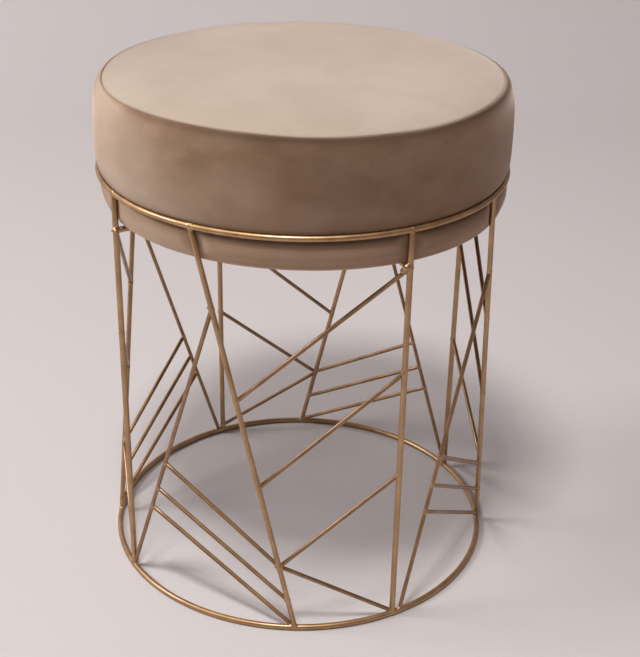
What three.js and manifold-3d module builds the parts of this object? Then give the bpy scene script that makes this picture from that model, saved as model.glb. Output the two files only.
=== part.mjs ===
// A round vanity stool: a drum of welded wire that carries an upholstered seat.
// Millimetres, +Z up. The origin is on the floor, in the middle of the bottom ring.
// The front is at -Y, and the four sectors of the drum follow each other to the right there.

import * as THREE from "three";
import { mergeVertices } from "three/addons/utils/BufferGeometryUtils.js";
import Module from "manifold-3d";

const wasm = await Module();
wasm.setup();

// Driving dimensions of the wire drum
const ringRadius = 172.5; // centre line of both rings
const ringSpacing = 362; // from one ring's centre line to the other's
const ringWire = 5; // diameters of the wires
const uprightWire = 5;
const leanerWire = 4.5;
const infillWire = 3.6;
const seatBarWire = 5;
const weldGap = 0.3; // left between two wires where a weld joins them

// Driving dimensions of the seat
const seatDepth = 28.2; // from the top ring's centre line down to the cover's underside
const bellyOverhang = 1.7; // how far the side stands out past the ring's centre line
const bellyHeight = 50; // heights above the top ring's centre line
const seamHeight = 75.2;
const seamInset = 8.8; // from the belly in to the seam
const edgeRise = 8; // the top panel's padded edge above the seam
const domeRise = 2.3; // and its slow crown above that
const waistRise = 2; // height of the drawn-in waist
const lowerEdgeRound = 5; // radius at the bottom edge of the cover
const velvetThickness = 1.2;
const hemWidth = 14; // how far the cover is turned in under the board
const boardThickness = 12;
const liningThickness = 0.4;
const liningLap = 6; // how far the lining covers the hem
const layerGap = 0.3; // between layers that touch

// Driving dimensions of the seat's fixing
const tabInset = 62.5; // from the ring's centre line in to a tab's screw
const tabLength = 22; // along the bar
const tabWidth = 20; // out from the bar
const tabThickness = 2;
const tabCorner = 6;
const tabHoleRadius = 2.6;
const screwShank = 4; // diameters
const screwHead = 8;
const screwHeadHeight = 2.4;
const screwHeadRim = 1; // height of the rim below the domed part of the head
const screwLength = 14;
const screwPoint = 3; // length of the tip
const recessWidth = 1; // the cross in the head
const recessLength = 4;
const recessDepth = 1.2;
const pilotSpare = 0.6; // depth of the pilot hole past the tip
const cutOverrun = 1; // how far a cutter runs past the face that it cuts

// Directions of the struts about the stool's axis, in degrees.
// The real drum was welded by hand, so its four sectors differ a little, here and below.
const uprightTurns = [-150.2, -61.5, 29.8, 118.8];
const leanerTopTurns = [-119.3, -28.1, 61.3, 151.3];
const leanerFootTurns = [-90.8, -2, 89.4, 179.7];

// Where the thin wires meet the struts: shares of a strut's length, from its upper end down
const diagonalTopShares = [0.186, 0.2, 0.197, 0.193];
const diagonalFootShares = [0, 1.5, 0, 0.9]; // of the upright's wire, along the ring
const rungUpperShares = [[0.562, 0.664, 0.74], [0.537, 0.62, 0.7], [0.565, 0.65, 0.723], [0.546, 0.633, 0.712]];
const rungLowerShares = [[0.831, 0.925, 1], [0.805, 0.895, 0.985], [0.827, 0.913, 0.995], [0.812, 0.897, 0.97]];
const braceUpperShares = [[0.34, 0.604], [0.305, 0.593], [0.36, 0.61], [0.345, 0.61]];
const braceLowerShares = [[0.405, 0.622, 0.832], [0.335, 0.567, 0.77], [0.38, 0.63, 0.829], [0.391, 0.61, 0.815]];
const footBraceUpperShares = [0.83, 0.803, 0.83, 0.823];
const footBraceLowerShares = [0.995, 0.975, 0.985, 0.985];

// Shape of the cushion's outline
const bulgePower = 3; // how tightly the side swells out over the ring
const shoulderPower = 4; // how square the shoulder is below the seam
const edgePower = 8; // how quickly the top panel rises behind the seam
const crownShares = [0.975, 0.94, 0.88, 0.79, 0.65, 0.46, 0.24, 0]; // of the seam's radius

// Facets
const ringSteps = 96;
const ringSides = 8;
const strutSides = 12;
const infillSides = 8;
const seatSteps = 48;
const edgeSteps = 2;
const bulgeSteps = 4;
const shoulderSteps = 4;
const smallSteps = 16;
const mergeDistance = 0.001;

const halfTurn = Math.PI;
const quarterTurn = halfTurn / 2;
const degree = halfTurn / 180;
const sectors = uprightTurns.map((turn, index) => index);
const bottomRingHeight = ringWire / 2; // the ring's flat underside is on the floor
const topRingHeight = bottomRingHeight + ringSpacing;
const boardTop = -seatDepth + velvetThickness + layerGap + boardThickness;
const liningTop = -seatDepth - layerGap;
const liningUnderside = liningTop - liningThickness;
const tabReach = ringRadius - tabInset; // from the stool's axis
const seatBarLine = liningUnderside - layerGap - seatBarWire / 2; // from the top ring's centre line

// Solids: a closed geometry that can be joined and cut, and back

function solidOf(geometry) {
  const plain = geometry.index ? geometry.toNonIndexed() : geometry.clone();
  plain.deleteAttribute("normal");
  plain.deleteAttribute("uv");
  const merged = mergeVertices(plain, mergeDistance);
  const corners = merged.index.array;
  const kept = [];
  for (let i = 0; i < corners.length; i += 3) {
    const [a, b, c] = corners.slice(i, i + 3);
    if (a !== b && b !== c && c !== a) kept.push(a, b, c);
  }
  const triVerts = new Uint32Array(kept);
  const vertProperties = merged.getAttribute("position").array;
  return new wasm.Manifold(new wasm.Mesh({ numProp: 3, vertProperties, triVerts }));
}

function geometryOf(solid) {
  const { vertProperties, triVerts } = solid.getMesh();
  const geometry = new THREE.BufferGeometry();
  geometry.setAttribute("position", new THREE.BufferAttribute(vertProperties, 3));
  geometry.setIndex(new THREE.BufferAttribute(triVerts, 1));
  const flat = geometry.toNonIndexed();
  flat.computeVertexNormals();
  return flat;
}

function revolve(outline, steps) {
  const points = outline.map(([radius, height]) => new THREE.Vector2(radius, height));
  return new THREE.LatheGeometry(points, steps).rotateX(quarterTurn);
}

// Finishes

const finishes = {
  goldWire: { color: "#a8814f", roughness: 0.34, metalness: 0.9 },
  velvet: { color: "#ac9581", roughness: 1, metalness: 0 },
  foam: { color: "#e6dcc0", roughness: 0.95, metalness: 0 },
  plywood: { color: "#c7a273", roughness: 0.7, metalness: 0 },
  lining: { color: "#2b2927", roughness: 0.95, metalness: 0 },
  zincSteel: { color: "#b9bcc0", roughness: 0.35, metalness: 0.9 },
};

function piece(name, finish, geometry) {
  const mesh = new THREE.Mesh(geometry, new THREE.MeshStandardMaterial(finishes[finish]));
  mesh.name = name;
  return mesh;
}

// Rings: round wire, whose eight-sided section stands on a flat

function ringSolid(height, grow) {
  const corner = (ringWire / 2 + grow) / Math.cos(halfTurn / ringSides);
  const section = [];
  for (let i = 0; i <= ringSides; i++) {
    const turn = (2 * halfTurn * (i + 0.5)) / ringSides;
    section.push([ringRadius + corner * Math.cos(turn), height + corner * Math.sin(turn)]);
  }
  return solidOf(revolve(section, ringSteps));
}

// Rods: straight round wire between two points, each of which lies on the wire that it is welded to

function rod(from, to, wire, sides) {
  return { from, to, wire, sides };
}

function rodSolid({ from, to, wire, sides }, grow = 0) {
  const radius = grow ? (wire / 2 + grow) / Math.cos(halfTurn / sides) : wire / 2;
  const along = new THREE.Vector3().subVectors(to, from);
  const middle = new THREE.Vector3().addVectors(from, to).multiplyScalar(1 / 2);
  const geometry = new THREE.CylinderGeometry(radius, radius, along.length(), sides);
  const up = new THREE.Vector3(0, 1, 0);
  geometry.applyQuaternion(new THREE.Quaternion().setFromUnitVectors(up, along.normalize()));
  geometry.translate(middle.x, middle.y, middle.z);
  return solidOf(geometry);
}

// A rod whose ends are coped to the wires that they meet
function coped(name, wire, ...cutters) {
  const solid = cutters.reduce((left, cutter) => left.subtract(cutter), rodSolid(wire));
  return piece(name, "goldWire", geometryOf(solid));
}

function onDrum(turn, height) {
  return new THREE.Vector3(ringRadius * Math.cos(turn), ringRadius * Math.sin(turn), height);
}

function pointOn(wire, share) {
  return new THREE.Vector3().lerpVectors(wire.from, wire.to, share);
}

function upright(index) {
  const turn = uprightTurns[index % uprightTurns.length] * degree;
  const foot = onDrum(turn, bottomRingHeight);
  return rod(onDrum(turn, topRingHeight), foot, uprightWire, strutSides);
}

function leaner(index) {
  const from = onDrum(leanerTopTurns[index] * degree, topRingHeight);
  const to = onDrum(leanerFootTurns[index] * degree, bottomRingHeight);
  return rod(from, to, leanerWire, strutSides);
}

function seatBarArm(index) {
  const end = pointOn(upright(index), -seatBarLine / ringSpacing);
  const centre = new THREE.Vector3(0, 0, end.z);
  return rod(centre, end, seatBarWire, strutSides);
}

function infill(from, to) {
  return rod(from, to, infillWire, infillSides);
}

// One sector of the drum, from its upright round to the next one: the leaning strut between them,
// a diagonal with three rungs on one side of it, and four braces on the other

function sector(index) {
  const number = index + 1;
  const strut = leaner(index);
  const near = upright(index);
  const next = upright(index + 1);
  const seatBar = seatBarArm((index + 1) % uprightTurns.length);
  const footStep = (diagonalFootShares[index] * uprightWire) / ringRadius;
  const foot = onDrum(uprightTurns[index] * degree + footStep, bottomRingHeight);
  const diagonal = infill(pointOn(strut, diagonalTopShares[index]), foot);

  const rings = [ringSolid(bottomRingHeight, weldGap), ringSolid(topRingHeight, weldGap)];
  const [bottomRing] = rings;
  const cutOf = (wire) => rodSolid(wire, weldGap);
  const [strutCut, nearCut, nextCut] = [strut, near, next].map(cutOf);
  const [diagonalCut, seatBarCut] = [diagonal, seatBar].map(cutOf);

  const group = new THREE.Group();
  group.add(coped(`upright_${number}`, near, ...rings));
  group.add(coped(`leaning_strut_${number}`, strut, ...rings));
  group.add(coped(`diagonal_${number}`, diagonal, strutCut, nearCut, bottomRing));

  const levels = ["upper", "middle", "lower"];
  levels.forEach((level, i) => {
    const upper = pointOn(diagonal, rungUpperShares[index][i]);
    const rung = infill(upper, pointOn(strut, rungLowerShares[index][i]));
    group.add(coped(`rung_${number}_${level}`, rung, diagonalCut, strutCut, bottomRing));
  });

  // the upper brace starts where the seat's bar meets the upright
  const upperEnds = [-seatBarLine / ringSpacing, ...braceUpperShares[index]];
  const braces = levels.map((level, i) => {
    const lower = pointOn(strut, braceLowerShares[index][i]);
    return infill(pointOn(next, upperEnds[i]), lower);
  });
  levels.forEach((level, i) => {
    group.add(coped(`brace_${number}_${level}`, braces[i], nextCut, strutCut, seatBarCut));
  });
  const footBrace = infill(
    pointOn(strut, footBraceUpperShares[index]),
    pointOn(next, footBraceLowerShares[index]),
  );
  const lowerBraceCut = cutOf(braces[levels.length - 1]);
  const footCutters = [strutCut, nextCut, bottomRing, lowerBraceCut];
  group.add(coped(`brace_${number}_foot`, footBrace, ...footCutters));
  return group;
}

// The cross of wire under the seat: one bar right across, and a half bar welded to each side of it

function seatBars() {
  const arms = sectors.map(seatBarArm);
  const ends = sectors.map((index) => rodSolid(upright(index), weldGap));
  const longBar = rod(arms[2].to, arms[0].to, seatBarWire, strutSides);
  const longBarCut = rodSolid(longBar, weldGap);
  const group = new THREE.Group();
  group.add(coped("seat_bar_long", longBar, ends[0], ends[2]));
  group.add(coped("seat_bar_half_1", arms[1], ends[1], longBarCut));
  group.add(coped("seat_bar_half_2", arms[3], ends[3], longBarCut));
  return group;
}

// Tabs: a drilled plate beside each arm of the cross, flush with its top, and the screw through it

const tabInnerEdge = seatBarWire / 2 + weldGap;
const tabTop = seatBarLine + seatBarWire / 2;
const tabUnderside = tabTop - tabThickness;
const screwOffset = tabInnerEdge + tabWidth / 2; // from the bar's centre line
const headTop = tabUnderside - layerGap;
const screwTip = headTop + screwLength;

function tabGeometry() {
  const half = tabLength / 2;
  const outline = new THREE.Shape();
  outline.moveTo(-half, 0);
  outline.lineTo(half, 0);
  outline.lineTo(half, tabWidth - tabCorner);
  outline.absarc(half - tabCorner, tabWidth - tabCorner, tabCorner, 0, quarterTurn);
  outline.lineTo(tabCorner - half, tabWidth);
  outline.absarc(tabCorner - half, tabWidth - tabCorner, tabCorner, quarterTurn, halfTurn);
  outline.lineTo(-half, 0);
  const hole = new THREE.Path();
  hole.absarc(0, tabWidth / 2, tabHoleRadius, 0, 2 * halfTurn);
  outline.holes.push(hole);
  const settings = { depth: tabThickness, bevelEnabled: false, curveSegments: smallSteps / 4 };
  return new THREE.ExtrudeGeometry(outline, settings);
}

function screwGeometry() {
  const head = screwHead / 2;
  const shank = screwShank / 2;
  const underHead = headTop - screwHeadHeight;
  const outline = [
    [0, underHead],
    [head - screwHeadHeight / 2, underHead],
    [head, headTop - screwHeadRim],
    [head, headTop],
    [shank, headTop],
    [shank, screwTip - screwPoint],
    [0, screwTip],
  ];
  const body = solidOf(revolve(outline, smallSteps));
  const slot = (length, width) => {
    const box = new THREE.BoxGeometry(length, width, recessDepth + cutOverrun);
    return solidOf(box.translate(0, 0, underHead + (recessDepth - cutOverrun) / 2));
  };
  const cross = slot(recessLength, recessWidth).add(slot(recessWidth, recessLength));
  return geometryOf(body.subtract(cross));
}

// A tab and its screw on one arm of the cross
function seatFixing(index) {
  const tab = piece(`seat_tab_${index + 1}`, "goldWire", tabGeometry());
  tab.position.set(tabReach, tabInnerEdge, tabUnderside);
  const screw = piece(`seat_screw_${index + 1}`, "zincSteel", screwGeometry());
  screw.position.set(tabReach, screwOffset, 0);
  const group = new THREE.Group();
  group.rotation.z = uprightTurns[index] * degree;
  group.add(tab, screw);
  return group;
}

// One hole for each screw, as a solid to cut away
function screwHoles(radius, low, high) {
  const holes = uprightTurns.map((turn) => {
    const hole = new THREE.CylinderGeometry(radius, radius, high - low, smallSteps);
    hole.rotateX(quarterTurn).translate(tabReach, screwOffset, (low + high) / 2);
    return solidOf(hole.rotateZ(turn * degree));
  });
  return holes.reduce((joined, hole) => joined.add(hole));
}

// The cushion's outline, as radius and height above the top ring's centre line.
// It runs from the hem under the board out round the lower edge, up past the ring, where the
// cushion is drawn in, over the belly and shoulder to the seam, and over the crown to the axis.

const waistRadius = ringRadius - ringWire / 2 - layerGap;
const bellyRadius = ringRadius + bellyOverhang;
const seamRadius = bellyRadius - seamInset;

// The leaning struts bow inwards, so the cushion's lower part is smaller than the ring
function leanerRadiusAt(share) {
  const points = sectors.map((index) => pointOn(leaner(index), share));
  return Math.min(...points.map((point) => Math.hypot(point.x, point.y)));
}
const lowerRadius = leanerRadiusAt(seatDepth / ringSpacing) - leanerWire / 2 - layerGap;
const hemInnerRadius = lowerRadius - lowerEdgeRound - hemWidth;

function crownHeight(share) {
  return seamHeight + edgeRise * (1 - share ** edgePower) + domeRise * (1 - share ** 2);
}

function coverOutline() {
  const side = [[hemInnerRadius, -seatDepth]];
  for (let i = 0; i <= edgeSteps; i++) {
    const turn = (quarterTurn * i) / edgeSteps;
    side.push([
      lowerRadius - lowerEdgeRound * (1 - Math.sin(turn)),
      -seatDepth + lowerEdgeRound * (1 - Math.cos(turn)),
    ]);
  }
  side.push([waistRadius, waistRise]);
  for (let i = 1; i <= bulgeSteps; i++) {
    const turn = (quarterTurn * i) / bulgeSteps;
    const out = Math.sin(turn) ** (2 / bulgePower);
    const up = 1 - Math.max(Math.cos(turn), 0) ** (2 / bulgePower);
    side.push([
      waistRadius + (bellyRadius - waistRadius) * out,
      waistRise + (bellyHeight - waistRise) * up,
    ]);
  }
  for (let i = 1; i < shoulderSteps; i++) {
    const turn = (quarterTurn * i) / shoulderSteps;
    side.push([
      seamRadius + (bellyRadius - seamRadius) * Math.cos(turn) ** (2 / shoulderPower),
      bellyHeight + (seamHeight - bellyHeight) * Math.sin(turn) ** (2 / shoulderPower),
    ]);
  }
  side.push([seamRadius + layerGap / 2, seamHeight]);
  const top = [[seamRadius - layerGap / 2, seamHeight]];
  crownShares.forEach((share) => top.push([share * seamRadius, crownHeight(share)]));
  return { side, top };
}

// An outline moved in by a distance, which keeps its first and last radius where it meets the axis
function inset(outline, distance) {
  return outline.map(([radius, height], i) => {
    const before = outline[Math.max(i - 1, 0)];
    const after = outline[Math.min(i + 1, outline.length - 1)];
    const here = [radius, height];
    const normal = (a, b) => new THREE.Vector2(a[1] - b[1], b[0] - a[0]).normalize();
    const first = i > 0 ? normal(before, here) : normal(here, after);
    const second = i < outline.length - 1 ? normal(here, after) : first;
    const both = first.clone().add(second).normalize();
    both.multiplyScalar(distance / both.dot(first));
    return radius > 0 ? [radius + both.x, height + both.y] : [0, height - distance];
  });
}

function loop(outer, inner) {
  return [...outer, ...inner.toReversed(), outer[0]];
}

const { side: sideOutline, top: topOutline } = coverOutline();
const wholeOutline = [...sideOutline, ...topOutline];
const innerOutline = inset(wholeOutline, velvetThickness);
const fillingOutline = inset(wholeOutline, velvetThickness + layerGap);

function velvetSide() {
  const inner = innerOutline.slice(0, sideOutline.length);
  return piece("velvet_side", "velvet", revolve(loop(sideOutline, inner), seatSteps));
}

function velvetTop() {
  const inner = innerOutline.slice(sideOutline.length);
  const panel = solidOf(revolve(loop(topOutline, inner), seatSteps));
  return piece("velvet_top", "velvet", geometryOf(panel));
}

// Radius of the filling at a height between the lower edge and the waist
function fillingRadiusAt(height) {
  const above = fillingOutline.findIndex(([radius, z]) => z > height);
  const [lowRadius, low] = fillingOutline[above - 1];
  const [highRadius, high] = fillingOutline[above];
  return lowRadius + ((highRadius - lowRadius) * (height - low)) / (high - low);
}

// Board: a disc of plywood with a rounded lower edge, which fills the bottom of the cover
function seatBoard() {
  const underside = -seatDepth + velvetThickness + layerGap;
  const edge = fillingOutline.slice(1).filter(([radius, height]) => height < boardTop);
  const outline = [[0, underside], ...edge, [fillingRadiusAt(boardTop), boardTop], [0, boardTop]];
  const holes = screwHoles(screwShank / 2 + layerGap, underside - cutOverrun, screwTip + pilotSpare);
  const disc = solidOf(revolve(outline, seatSteps));
  return piece("seat_board", "plywood", geometryOf(disc.subtract(holes)));
}

// Foam: it stands on the board and fills the cover up to the crown
function foamCore() {
  const base = boardTop + layerGap;
  const edge = fillingOutline.filter(([radius, height]) => height > base);
  const outline = [[0, base], [fillingRadiusAt(base), base], ...edge];
  return piece("foam_core", "foam", revolve(outline, seatSteps));
}

// Lining: thin cloth stapled under the board, over the cover's hem
function dustCover() {
  const radius = hemInnerRadius + liningLap;
  const outline = [[0, liningUnderside], [radius, liningUnderside], [radius, liningTop], [0, liningTop]];
  const holes = screwHoles(tabHoleRadius, liningUnderside - cutOverrun, liningTop + cutOverrun);
  const disc = solidOf(revolve(outline, seatSteps));
  return piece("dust_cover", "lining", geometryOf(disc.subtract(holes)));
}

// Assembly

const stool = new THREE.Group();

stool.add(piece("top_ring", "goldWire", geometryOf(ringSolid(topRingHeight, 0))));
stool.add(piece("bottom_ring", "goldWire", geometryOf(ringSolid(bottomRingHeight, 0))));

stool.add(...sectors.map(sector), seatBars());

const seat = new THREE.Group();
seat.add(seatBoard(), foamCore(), velvetSide(), velvetTop(), dustCover());
seat.add(...sectors.map(seatFixing));
seat.position.z = topRingHeight;
stool.add(seat);

export default stool;
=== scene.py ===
import math
import random

import bpy
import numpy as np
from mathutils import Matrix, Vector, noise


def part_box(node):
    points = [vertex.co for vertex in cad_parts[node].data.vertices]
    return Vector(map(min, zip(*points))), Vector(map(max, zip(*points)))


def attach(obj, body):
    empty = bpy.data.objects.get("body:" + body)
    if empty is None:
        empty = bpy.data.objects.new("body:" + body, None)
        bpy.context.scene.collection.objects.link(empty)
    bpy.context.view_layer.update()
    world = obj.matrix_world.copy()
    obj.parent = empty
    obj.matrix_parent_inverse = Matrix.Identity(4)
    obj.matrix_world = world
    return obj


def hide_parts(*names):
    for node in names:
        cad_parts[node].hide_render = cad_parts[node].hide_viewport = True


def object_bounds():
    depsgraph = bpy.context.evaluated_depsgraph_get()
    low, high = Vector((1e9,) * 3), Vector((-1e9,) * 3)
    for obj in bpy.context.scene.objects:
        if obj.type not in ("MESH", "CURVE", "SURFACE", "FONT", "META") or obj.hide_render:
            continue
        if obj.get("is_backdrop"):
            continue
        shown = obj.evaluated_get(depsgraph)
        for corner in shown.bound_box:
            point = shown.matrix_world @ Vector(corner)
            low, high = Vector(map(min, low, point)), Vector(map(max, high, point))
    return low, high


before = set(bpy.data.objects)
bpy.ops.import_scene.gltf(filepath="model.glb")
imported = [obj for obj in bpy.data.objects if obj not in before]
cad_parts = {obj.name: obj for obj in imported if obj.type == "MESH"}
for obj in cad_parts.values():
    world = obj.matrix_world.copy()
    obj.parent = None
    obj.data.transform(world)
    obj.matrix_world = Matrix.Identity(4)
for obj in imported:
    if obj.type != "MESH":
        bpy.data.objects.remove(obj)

cad_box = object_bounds()


# Gold finish: clear-lacquered gold plating on drawn steel wire. The wire keeps a faint mottle
# from the plating bath.

class Value:
    """One output of a shader node. Numbers and other outputs combine with it as in Python."""

    def __init__(self, finish, socket):
        self.finish = finish
        self.socket = socket

    def combined(self, operation, first, second):
        return self.finish.node("ShaderNodeMath", {"operation": operation}, {0: first, 1: second})

    def __add__(self, other):
        return self.combined("ADD", self, other)

    def __mul__(self, other):
        return self.combined("MULTIPLY", self, other)

    def __sub__(self, other):
        return self.combined("SUBTRACT", self, other)

    def __truediv__(self, other):
        return self.combined("DIVIDE", self, other)

    def __pow__(self, other):
        return self.combined("POWER", self, other)

    __radd__ = __add__
    __rmul__ = __mul__


class Finish:
    """A material whose nodes are added one at a time."""

    def __init__(self, name, **constants):
        self.material = bpy.data.materials.new(name)
        self.material.use_nodes = True
        self.tree = self.material.node_tree
        self.tree.nodes.clear()
        self.surface = self.tree.nodes.new("ShaderNodeBsdfPrincipled")
        output = self.tree.nodes.new("ShaderNodeOutputMaterial")
        self.tree.links.new(self.surface.outputs["BSDF"], output.inputs["Surface"])
        for socket, value in constants.items():
            self.surface.inputs[socket.replace("_", " ")].default_value = value

    def set(self, socket, value):
        if isinstance(value, Value):
            self.tree.links.new(value.socket, socket)
        else:
            socket.default_value = value

    def node(self, kind, settings, sockets, out=0):
        made = self.tree.nodes.new(kind)
        for name, value in settings.items():
            if name == "stops":
                ramp = made.color_ramp
                while len(ramp.elements) < len(value):
                    ramp.elements.new(0.5)
                for element, (position, colour) in zip(ramp.elements, value):
                    element.position = position
                    element.color = colour
            else:
                setattr(made, name, value)
        for name, value in sockets.items():
            self.set(made.inputs[name], value)
        return Value(self, made.outputs[out])

    def place(self, scale=(1, 1, 1)):
        """The point on the piece, in metres, stretched by scale."""
        point = self.node("ShaderNodeTexCoord", {}, {}, "Object")
        return self.node("ShaderNodeMapping", {}, {"Vector": point, "Scale": scale})

    def noise(self, place, scale, detail=3, roughness=0.5):
        """Noise with about scale features to the metre."""
        return self.node("ShaderNodeTexNoise", {}, {
            "Vector": place, "Scale": scale, "Detail": detail, "Roughness": roughness,
        }, "Fac")

    def ramp(self, value, *stops):
        return self.node("ShaderNodeValToRGB", {"stops": stops}, {"Fac": value})

    def band(self, value, low, high):
        """0 below low, 1 above high, and a smooth step between."""
        return self.node("ShaderNodeMapRange", {"interpolation_type": "SMOOTHSTEP"}, {
            "Value": value, "From Min": low, "From Max": high,
        })

    def mixed(self, amount, first, second):
        settings = {"data_type": "RGBA"}
        return self.node("ShaderNodeMix", settings, {0: amount, 6: first, 7: second}, 2)

    def bump(self, height, strength, distance):
        return self.node("ShaderNodeBump", {}, {
            "Height": height, "Strength": strength, "Distance": distance,
        })

    def wear(self, **inputs):
        """Puts what varies over the surface on the shader's inputs."""
        for name, value in inputs.items():
            self.set(self.surface.inputs[name.replace("_", " ")], value)
        return self.material


def shade(red, green, blue):
    """A colour as it is read off a screen, from 0 to 255, for a shader."""
    def linear(part):
        part /= 255
        return part / 12.92 if part <= 0.04045 else ((part + 0.055) / 1.055) ** 2.4
    return (linear(red), linear(green), linear(blue), 1)


def gold_finish(name, dark, middle, light):
    """Lacquered gold in three tones of its mottle, with fine streaks from drawing the wire."""
    gold = Finish(
        name, Metallic=1.0, Specular_Tint=shade(163, 129, 92),
        Coat_Roughness=0.21, Coat_IOR=1.65, Coat_Tint=shade(247, 226, 194),
    )
    place = gold.place()
    mottle = gold.noise(place, 55, 4, 0.6)
    fine = gold.noise(place, 900, 2)
    streaks = gold.noise(gold.place((1, 1, 0.06)), 700, 2)
    return gold.wear(
        Base_Color=gold.ramp(mottle, (0.28, dark), (0.5, middle), (0.72, light)),
        Roughness=0.36 + 0.16 * mottle + 0.06 * streaks,
        Coat_Weight=0.6 + 0.4 * mottle,
        Normal=gold.bump(fine * 0.6 + streaks, 0.12, 0.0004),
    )


GOLD = gold_finish(
    "gold_lacquer", shade(166, 138, 104), shade(185, 158, 123), shade(204, 179, 146))


# Rings: two rings of 5 mm wire, rolled round and butt-welded shut. The seat drops into the top
# one, and the stool stands on the other. The closing weld was ground almost flush.

RING_RADIUS = 0.1725
RING_WIRE = 0.005
BOTTOM_RING = RING_WIRE / 2
TOP_RING = BOTTOM_RING + 0.362
CLOSING_WELD_TURN = math.radians(74)
CLOSING_WELD_LENGTH = 0.0045
CLOSING_WELD_RISE = 0.00022


def start_clean():
    if bpy.context.object and bpy.context.object.mode != "OBJECT":
        bpy.ops.object.mode_set(mode="OBJECT")
    bpy.ops.object.select_all(action="DESELECT")


def named(name):
    """The primitive that was just added, with its place put into its mesh."""
    piece = bpy.context.object
    piece.name = name
    piece.data.name = name
    bpy.ops.object.transform_apply(location=True, rotation=True, scale=True)
    return piece


def pick(piece, mode, chosen):
    """Selects the vertices, edges or faces of an open mesh for which chosen is true."""
    bpy.ops.object.mode_set(mode="EDIT")
    bpy.ops.mesh.select_mode(type=mode)
    bpy.ops.mesh.select_all(action="DESELECT")
    bpy.ops.object.mode_set(mode="OBJECT")
    mesh = piece.data
    parts = {"VERT": mesh.vertices, "EDGE": mesh.edges, "FACE": mesh.polygons}[mode]
    parts.foreach_set("select", np.array([bool(chosen(part)) for part in parts]))
    bpy.ops.object.mode_set(mode="EDIT")


def finished(piece, material, slot, *nodes, angle=40):
    """Gives a piece its finish and hides the CAD nodes that it stands for; the slot is not used."""
    start_clean()
    bpy.context.view_layer.objects.active = piece
    piece.select_set(True)
    bpy.ops.object.shade_smooth_by_angle(angle=math.radians(angle))
    piece.data.materials.clear()
    piece.data.materials.append(material)
    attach(piece, "root")
    if nodes:
        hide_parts(*nodes)
    return piece


def ring(name, height):
    start_clean()
    bpy.ops.mesh.primitive_torus_add(
        major_segments=288, minor_segments=20,
        major_radius=RING_RADIUS, minor_radius=RING_WIRE / 2, location=(0, 0, height),
    )
    piece = named(name + "_wire")
    seam = Vector((math.cos(CLOSING_WELD_TURN), math.sin(CLOSING_WELD_TURN), 0)) * RING_RADIUS
    seam.z = height
    pick(piece, "VERT", lambda vertex: (vertex.co - seam).length < CLOSING_WELD_LENGTH)
    bpy.ops.transform.shrink_fatten(value=CLOSING_WELD_RISE)
    bpy.ops.mesh.vertices_smooth(factor=0.5, repeat=2)
    return finished(piece, GOLD, "gold_wire", name)


ring("bottom_ring", BOTTOM_RING)
ring("top_ring", TOP_RING)


# Uprights and leaning struts: straight wires welded between the rings. Each upright stands
# plumb, and each leaning strut runs on round the drum. They are cut square and butted.

UPRIGHT_WIRE = 0.005
LEANER_WIRE = 0.0045
UPRIGHT_TURNS = (-150.2, -61.5, 29.8, 118.8)
LEANER_TOP_TURNS = (-119.3, -28.1, 61.3, 151.3)
LEANER_FOOT_TURNS = (-90.8, -2.0, 89.4, 179.7)
BUTT = 0.0004  # how far short of the other wire's centre line an end stops
WIRE_SIDES, WIRE_CUTS = 20, 11
WIRE_EDGE = 0.16  # how far a cut end is rounded, as a share of the wire's diameter
SECTORS = range(4)
joints = []  # where the welds come: sector, point, and the wires that leave it, with thickness


class Wire:
    """A straight length of wire between two points on other wires' centre lines."""

    def __init__(self, start, end, diameter):
        self.start, self.end = start, end
        self.diameter = diameter
        self.run = (end - start).normalized()

    def at(self, share):
        return self.start.lerp(self.end, share)


def on_drum(turn, height):
    turn = math.radians(turn)
    return Vector((RING_RADIUS * math.cos(turn), RING_RADIUS * math.sin(turn), height))


def ring_run(point):
    """The direction of the ring's wire where a strut meets it."""
    return Vector((-point.y, point.x, 0)).normalized()


def cut_wire(node, wire, finish):
    """Cuts a wire to length and rounds its cut ends."""
    start_clean()
    length = (wire.end - wire.start).length - 2 * BUTT
    bpy.ops.mesh.primitive_cylinder_add(
        vertices=WIRE_SIDES, radius=wire.diameter / 2, depth=length, end_fill_type="NGON",
    )
    piece = bpy.context.object
    half = length / 2

    def heights(edge):
        return [piece.data.vertices[i].co.z for i in edge.vertices]

    pick(piece, "EDGE", lambda edge: abs(heights(edge)[0] - heights(edge)[1]) > half)
    bpy.ops.mesh.subdivide(number_cuts=WIRE_CUTS)
    pick(piece, "EDGE", lambda edge: all(abs(abs(z) - half) < 1e-6 for z in heights(edge)))
    bpy.ops.mesh.bevel(offset=wire.diameter * WIRE_EDGE, segments=2, affect="EDGES")
    bpy.ops.object.mode_set(mode="OBJECT")
    piece.rotation_euler = wire.run.to_track_quat("Z", "Y").to_euler()
    piece.location = wire.at(0.5)
    named(node + "_wire")
    return finished(piece, finish, "gold_wire", node)


uprights, leaners = [], []
for k in SECTORS:
    upright = Wire(
        on_drum(UPRIGHT_TURNS[k], TOP_RING), on_drum(UPRIGHT_TURNS[k], BOTTOM_RING), UPRIGHT_WIRE)
    leaner = Wire(
        on_drum(LEANER_TOP_TURNS[k], TOP_RING), on_drum(LEANER_FOOT_TURNS[k], BOTTOM_RING),
        LEANER_WIRE)
    uprights.append(upright)
    leaners.append(leaner)
    for strut, kind in ((upright, "upright"), (leaner, "leaning_strut")):
        node = f"{kind}_{k + 1}"
        cut_wire(node, strut, GOLD)
        for point, away in ((strut.start, strut.run), (strut.end, -strut.run)):
            along = ring_run(point)
            joints.append((k, point, [
                (away, strut.diameter), (along, RING_WIRE), (-along, RING_WIRE),
            ]))


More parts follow.
